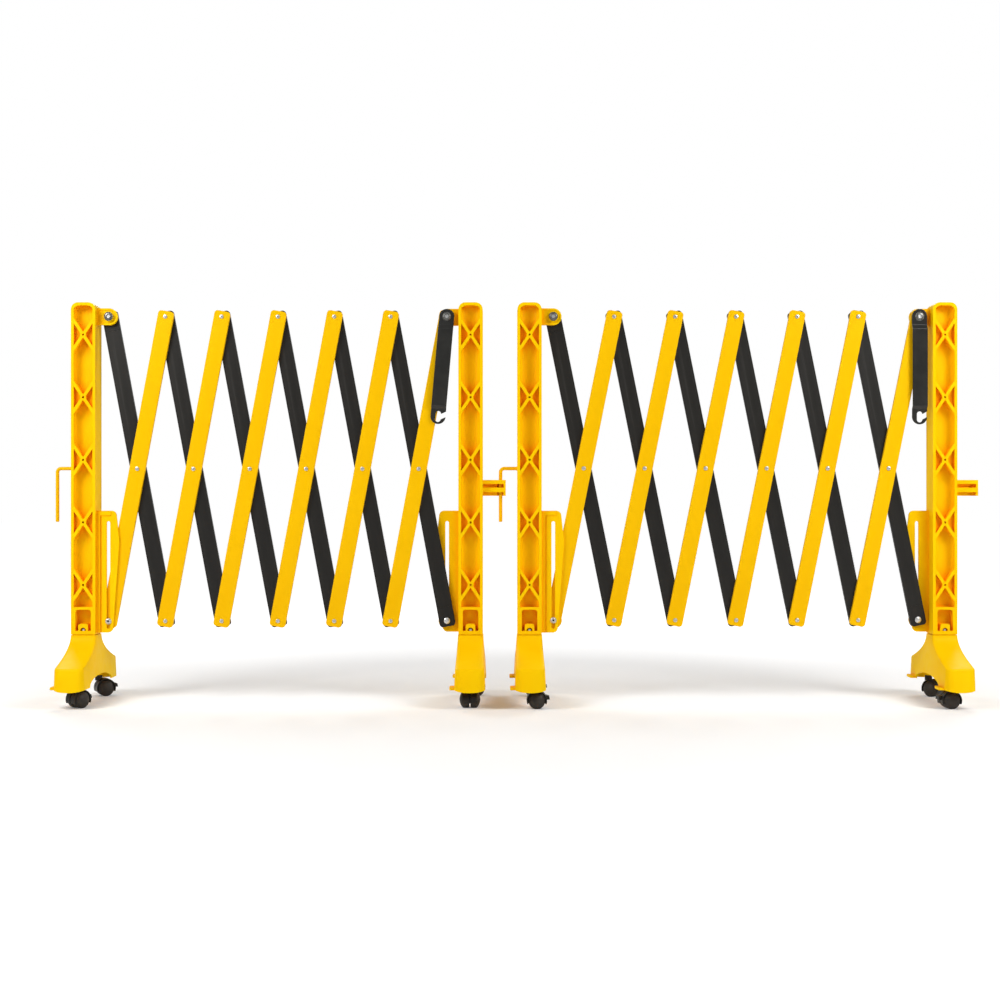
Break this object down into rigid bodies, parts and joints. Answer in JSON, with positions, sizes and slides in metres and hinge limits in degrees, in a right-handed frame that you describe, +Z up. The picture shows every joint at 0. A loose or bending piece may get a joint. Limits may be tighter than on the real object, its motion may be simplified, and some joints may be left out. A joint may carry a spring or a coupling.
{
  "type": "expanding scissor barrier",
  "caption": "Folding crowd and traffic barrier: scissor lattices of yellow and black bars between ribbed posts on caster feet, linked by a drop-in pin.",
  "frame": {"origin": "on the floor, under the middle of the whole barrier", "axes": "+X along the barrier to the right as seen from the front, +Y to the rear, +Z up"},
  "size_m": [2.2102, 0.3354, 0.9554],
  "materials": {
    "moulded_yellow": "satin moulded",
    "painted_yellow": "semi-gloss paint",
    "painted_black": "satin paint",
    "black_strap": "gloss paint",
    "zinc_steel": "zinc plated",
    "caster_black": "moulded"
  },
  "bodies": {
    "left_post_a": {"left_post_a": "moulded_yellow", "left_foot_a": "moulded_yellow", "left_pivot_bolt_a": "zinc_steel", "link_pin_a": "painted_yellow"},
    "right_post_a": {"right_post_a": "moulded_yellow", "right_foot_a": "moulded_yellow", "right_pivot_bolt_a": "zinc_steel", "link_socket_a": "moulded_yellow"},
    "yellow_bar_a1": {"yellow_bar_a1": "painted_yellow"},
    "black_bar_a1": {"black_bar_a1": "painted_black"},
    "yellow_bar_a2": {"yellow_bar_a2": "painted_yellow"},
    "black_bar_a2": {"black_bar_a2": "painted_black"},
    "yellow_bar_a3": {"yellow_bar_a3": "painted_yellow"},
    "black_bar_a3": {"black_bar_a3": "painted_black"},
    "yellow_bar_a4": {"yellow_bar_a4": "painted_yellow"},
    "black_bar_a4": {"black_bar_a4": "painted_black"},
    "yellow_bar_a5": {"yellow_bar_a5": "painted_yellow"},
    "black_bar_a5": {"black_bar_a5": "painted_black"},
    "yellow_bar_a6": {"yellow_bar_a6": "painted_yellow"},
    "black_bar_a6": {"black_bar_a6": "painted_black"},
    "latch_a": {"latch_a": "black_strap"},
    "caster_left_front_a": {"caster_hood_left_front_a": "caster_black"},
    "wheels_left_front_a": {"caster_wheels_left_front_a": "caster_black"},
    "caster_left_rear_a": {"caster_hood_left_rear_a": "caster_black"},
    "wheels_left_rear_a": {"caster_wheels_left_rear_a": "caster_black"},
    "caster_right_front_a": {"caster_hood_right_front_a": "caster_black"},
    "wheels_right_front_a": {"caster_wheels_right_front_a": "caster_black"},
    "caster_right_rear_a": {"caster_hood_right_rear_a": "caster_black"},
    "wheels_right_rear_a": {"caster_wheels_right_rear_a": "caster_black"},
    "left_post_b": {"left_post_b": "moulded_yellow", "left_foot_b": "moulded_yellow", "left_pivot_bolt_b": "zinc_steel", "link_pin_b": "painted_yellow"},
    "right_post_b": {"right_post_b": "moulded_yellow", "right_foot_b": "moulded_yellow", "right_pivot_bolt_b": "zinc_steel", "link_socket_b": "moulded_yellow"},
    "yellow_bar_b1": {"yellow_bar_b1": "painted_yellow"},
    "black_bar_b1": {"black_bar_b1": "painted_black"},
    "yellow_bar_b2": {"yellow_bar_b2": "painted_yellow"},
    "black_bar_b2": {"black_bar_b2": "painted_black"},
    "yellow_bar_b3": {"yellow_bar_b3": "painted_yellow"},
    "black_bar_b3": {"black_bar_b3": "painted_black"},
    "yellow_bar_b4": {"yellow_bar_b4": "painted_yellow"},
    "black_bar_b4": {"black_bar_b4": "painted_black"},
    "yellow_bar_b5": {"yellow_bar_b5": "painted_yellow"},
    "black_bar_b5": {"black_bar_b5": "painted_black"},
    "yellow_bar_b6": {"yellow_bar_b6": "painted_yellow"},
    "black_bar_b6": {"black_bar_b6": "painted_black"},
    "latch_b": {"latch_b": "black_strap"},
    "caster_left_front_b": {"caster_hood_left_front_b": "caster_black"},
    "wheels_left_front_b": {"caster_wheels_left_front_b": "caster_black"},
    "caster_left_rear_b": {"caster_hood_left_rear_b": "caster_black"},
    "wheels_left_rear_b": {"caster_wheels_left_rear_b": "caster_black"},
    "caster_right_front_b": {"caster_hood_right_front_b": "caster_black"},
    "wheels_right_front_b": {"caster_wheels_right_front_b": "caster_black"},
    "caster_right_rear_b": {"caster_hood_right_rear_b": "caster_black"},
    "wheels_right_rear_b": {"caster_wheels_right_rear_b": "caster_black"}
  },
  "joints": [
    {"name": "fold_a", "type": "hinge", "parent": "right_post_a", "child": "yellow_bar_a6", "pos_m": [-0.1662, 0, 0.92342], "axis": [0, 1, 0], "range_deg": [-7.38, 37.52]},
    {"name": "crossing_a6", "type": "hinge", "parent": "yellow_bar_a6", "child": "black_bar_a6", "pos_m": [-0.23359, 0, 0.5591], "axis": [0, 1, 0], "range_deg": [-75.04, 14.76]},
    {"name": "top_pivot_a5", "type": "hinge", "parent": "black_bar_a6", "child": "yellow_bar_a5", "pos_m": [-0.30099, 0, 0.92342], "axis": [0, 1, 0], "range_deg": [-14.76, 75.04]},
    {"name": "crossing_a5", "type": "hinge", "parent": "yellow_bar_a5", "child": "black_bar_a5", "pos_m": [-0.36838, 0, 0.5591], "axis": [0, 1, 0], "range_deg": [-75.04, 14.76]},
    {"name": "top_pivot_a4", "type": "hinge", "parent": "black_bar_a5", "child": "yellow_bar_a4", "pos_m": [-0.43577, 0, 0.92342], "axis": [0, 1, 0], "range_deg": [-14.76, 75.04]},
    {"name": "crossing_a4", "type": "hinge", "parent": "yellow_bar_a4", "child": "black_bar_a4", "pos_m": [-0.50316, 0, 0.5591], "axis": [0, 1, 0], "range_deg": [-75.04, 14.76]},
    {"name": "top_pivot_a3", "type": "hinge", "parent": "black_bar_a4", "child": "yellow_bar_a3", "pos_m": [-0.57055, 0, 0.92342], "axis": [0, 1, 0], "range_deg": [-14.76, 75.04]},
    {"name": "crossing_a3", "type": "hinge", "parent": "yellow_bar_a3", "child": "black_bar_a3", "pos_m": [-0.63794, 0, 0.5591], "axis": [0, 1, 0], "range_deg": [-75.04, 14.76]},
    {"name": "top_pivot_a2", "type": "hinge", "parent": "black_bar_a3", "child": "yellow_bar_a2", "pos_m": [-0.70533, 0, 0.92342], "axis": [0, 1, 0], "range_deg": [-14.76, 75.04]},
    {"name": "crossing_a2", "type": "hinge", "parent": "yellow_bar_a2", "child": "black_bar_a2", "pos_m": [-0.77272, 0, 0.5591], "axis": [0, 1, 0], "range_deg": [-75.04, 14.76]},
    {"name": "top_pivot_a1", "type": "hinge", "parent": "black_bar_a2", "child": "yellow_bar_a1", "pos_m": [-0.84011, 0, 0.92342], "axis": [0, 1, 0], "range_deg": [-14.76, 75.04]},
    {"name": "crossing_a1", "type": "hinge", "parent": "yellow_bar_a1", "child": "black_bar_a1", "pos_m": [-0.90751, 0, 0.5591], "axis": [0, 1, 0], "range_deg": [-75.04, 14.76]},
    {"name": "far_post_pivot_a", "type": "hinge", "parent": "black_bar_a1", "child": "left_post_a", "pos_m": [-0.9749, 0, 0.92342], "axis": [0, 1, 0], "range_deg": [-7.38, 37.52]},
    {"name": "fold_b", "type": "hinge", "parent": "left_post_b", "child": "black_bar_b1", "pos_m": [0.0884, 0, 0.92342], "axis": [0, -1, 0], "range_deg": [-8.26, 36.64]},
    {"name": "crossing_b1", "type": "hinge", "parent": "black_bar_b1", "child": "yellow_bar_b1", "pos_m": [0.16138, 0, 0.56017], "axis": [0, -1, 0], "range_deg": [-73.28, 16.52]},
    {"name": "top_pivot_b2", "type": "hinge", "parent": "yellow_bar_b1", "child": "black_bar_b2", "pos_m": [0.23436, 0, 0.92342], "axis": [0, -1, 0], "range_deg": [-16.52, 73.28]},
    {"name": "crossing_b2", "type": "hinge", "parent": "black_bar_b2", "child": "yellow_bar_b2", "pos_m": [0.30734, 0, 0.56017], "axis": [0, -1, 0], "range_deg": [-73.28, 16.52]},
    {"name": "top_pivot_b3", "type": "hinge", "parent": "yellow_bar_b2", "child": "black_bar_b3", "pos_m": [0.38032, 0, 0.92342], "axis": [0, -1, 0], "range_deg": [-16.52, 73.28]},
    {"name": "crossing_b3", "type": "hinge", "parent": "black_bar_b3", "child": "yellow_bar_b3", "pos_m": [0.4533, 0, 0.56017], "axis": [0, -1, 0], "range_deg": [-73.28, 16.52]},
    {"name": "top_pivot_b4", "type": "hinge", "parent": "yellow_bar_b3", "child": "black_bar_b4", "pos_m": [0.52628, 0, 0.92342], "axis": [0, -1, 0], "range_deg": [-16.52, 73.28]},
    {"name": "crossing_b4", "type": "hinge", "parent": "black_bar_b4", "child": "yellow_bar_b4", "pos_m": [0.59925, 0, 0.56017], "axis": [0, -1, 0], "range_deg": [-73.28, 16.52]},
    {"name": "top_pivot_b5", "type": "hinge", "parent": "yellow_bar_b4", "child": "black_bar_b5", "pos_m": [0.67223, 0, 0.92342], "axis": [0, -1, 0], "range_deg": [-16.52, 73.28]},
    {"name": "crossing_b5", "type": "hinge", "parent": "black_bar_b5", "child": "yellow_bar_b5", "pos_m": [0.74521, 0, 0.56017], "axis": [0, -1, 0], "range_deg": [-73.28, 16.52]},
    {"name": "top_pivot_b6", "type": "hinge", "parent": "yellow_bar_b5", "child": "black_bar_b6", "pos_m": [0.81819, 0, 0.92342], "axis": [0, -1, 0], "range_deg": [-16.52, 73.28]},
    {"name": "crossing_b6", "type": "hinge", "parent": "black_bar_b6", "child": "yellow_bar_b6", "pos_m": [0.89117, 0, 0.56017], "axis": [0, -1, 0], "range_deg": [-73.28, 16.52]},
    {"name": "far_post_pivot_b", "type": "hinge", "parent": "yellow_bar_b6", "child": "right_post_b", "pos_m": [0.96415, 0, 0.92342], "axis": [0, -1, 0], "range_deg": [-8.26, 36.64]},
    {"name": "link_hinge", "type": "hinge", "parent": "right_post_a", "child": "left_post_b", "pos_m": [-0.0376, 0, 0.56], "axis": [0, 0, 1], "range_deg": [-15, 15]},
    {"name": "latch_swing_a", "type": "hinge", "parent": "right_post_a", "child": "latch_a", "pos_m": [-0.1662, 0, 0.92342], "axis": [0, 1, 0], "range_deg": [-6.5, 100]},
    {"name": "swivel_left_front_a", "type": "hinge", "parent": "left_post_a", "child": "caster_left_front_a", "pos_m": [-1.0319, -0.118, 0.05192], "axis": [0, 0, 1], "continuous": true},
    {"name": "roll_left_front_a", "type": "hinge", "parent": "caster_left_front_a", "child": "wheels_left_front_a", "pos_m": [-1.02225, -0.10651, 0.01962], "axis": [-0.766, 0.6428, 0], "continuous": true},
    {"name": "swivel_left_rear_a", "type": "hinge", "parent": "left_post_a", "child": "caster_left_rear_a", "pos_m": [-1.0319, 0.118, 0.05192], "axis": [0, 0, 1], "continuous": true},
    {"name": "roll_left_rear_a", "type": "hinge", "parent": "caster_left_rear_a", "child": "wheels_left_rear_a", "pos_m": [-1.01853, 0.12481, 0.01962], "axis": [-0.454, 0.891, 0], "continuous": true},
    {"name": "swivel_right_front_a", "type": "hinge", "parent": "right_post_a", "child": "caster_right_front_a", "pos_m": [-0.1092, -0.118, 0.05192], "axis": [0, 0, 1], "continuous": true},
    {"name": "roll_right_front_a", "type": "hinge", "parent": "caster_right_front_a", "child": "wheels_right_front_a", "pos_m": [-0.1092, -0.103, 0.01962], "axis": [-1, 0, 0], "continuous": true},
    {"name": "swivel_right_rear_a", "type": "hinge", "parent": "right_post_a", "child": "caster_right_rear_a", "pos_m": [-0.1092, 0.118, 0.05192], "axis": [0, 0, 1], "continuous": true},
    {"name": "roll_right_rear_a", "type": "hinge", "parent": "caster_right_rear_a", "child": "wheels_right_rear_a", "pos_m": [-0.1017, 0.13099, 0.01962], "axis": [-0.866, 0.5, 0], "continuous": true},
    {"name": "latch_swing_b", "type": "hinge", "parent": "right_post_b", "child": "latch_b", "pos_m": [0.96415, 0, 0.92342], "axis": [0, 1, 0], "range_deg": [-1.5, 105]},
    {"name": "swivel_left_front_b", "type": "hinge", "parent": "left_post_b", "child": "caster_left_front_b", "pos_m": [0.0314, -0.118, 0.05192], "axis": [0, 0, 1], "continuous": true},
    {"name": "roll_left_front_b", "type": "hinge", "parent": "caster_left_front_b", "child": "wheels_left_front_b", "pos_m": [0.0464, -0.118, 0.01962], "axis": [0, 1, 0], "continuous": true},
    {"name": "swivel_left_rear_b", "type": "hinge", "parent": "left_post_b", "child": "caster_left_rear_b", "pos_m": [0.0314, 0.118, 0.05192], "axis": [0, 0, 1], "continuous": true},
    {"name": "roll_left_rear_b", "type": "hinge", "parent": "caster_left_rear_b", "child": "wheels_left_rear_b", "pos_m": [0.0455, 0.11287, 0.01962], "axis": [0.342, 0.9397, 0], "continuous": true},
    {"name": "swivel_right_front_b", "type": "hinge", "parent": "right_post_b", "child": "caster_right_front_b", "pos_m": [1.02115, -0.118, 0.05192], "axis": [0, 0, 1], "continuous": true},
    {"name": "roll_right_front_b", "type": "hinge", "parent": "caster_right_front_b", "child": "wheels_right_front_b", "pos_m": [1.0062, -0.11931, 0.01962], "axis": [0.0872, -0.9962, 0], "continuous": true},
    {"name": "swivel_right_rear_b", "type": "hinge", "parent": "right_post_b", "child": "caster_right_rear_b", "pos_m": [1.02115, 0.118, 0.05192], "axis": [0, 0, 1], "continuous": true},
    {"name": "roll_right_rear_b", "type": "hinge", "parent": "caster_right_rear_b", "child": "wheels_right_rear_b", "pos_m": [1.03079, 0.10651, 0.01962], "axis": [0.766, 0.6428, 0], "continuous": true}
  ],
  "couplings": [
    {"joint": "crossing_a6", "follows": "fold_a", "ratio": -2},
    {"joint": "top_pivot_a5", "follows": "fold_a", "ratio": 2},
    {"joint": "crossing_a5", "follows": "fold_a", "ratio": -2},
    {"joint": "top_pivot_a4", "follows": "fold_a", "ratio": 2},
    {"joint": "crossing_a4", "follows": "fold_a", "ratio": -2},
    {"joint": "top_pivot_a3", "follows": "fold_a", "ratio": 2},
    {"joint": "crossing_a3", "follows": "fold_a", "ratio": -2},
    {"joint": "top_pivot_a2", "follows": "fold_a", "ratio": 2},
    {"joint": "crossing_a2", "follows": "fold_a", "ratio": -2},
    {"joint": "top_pivot_a1", "follows": "fold_a", "ratio": 2},
    {"joint": "crossing_a1", "follows": "fold_a", "ratio": -2},
    {"joint": "far_post_pivot_a", "follows": "fold_a", "ratio": 1},
    {"joint": "crossing_b1", "follows": "fold_b", "ratio": -2},
    {"joint": "top_pivot_b2", "follows": "fold_b", "ratio": 2},
    {"joint": "crossing_b2", "follows": "fold_b", "ratio": -2},
    {"joint": "top_pivot_b3", "follows": "fold_b", "ratio": 2},
    {"joint": "crossing_b3", "follows": "fold_b", "ratio": -2},
    {"joint": "top_pivot_b4", "follows": "fold_b", "ratio": 2},
    {"joint": "crossing_b4", "follows": "fold_b", "ratio": -2},
    {"joint": "top_pivot_b5", "follows": "fold_b", "ratio": 2},
    {"joint": "crossing_b5", "follows": "fold_b", "ratio": -2},
    {"joint": "top_pivot_b6", "follows": "fold_b", "ratio": 2},
    {"joint": "crossing_b6", "follows": "fold_b", "ratio": -2},
    {"joint": "far_post_pivot_b", "follows": "fold_b", "ratio": 1}
  ]
}
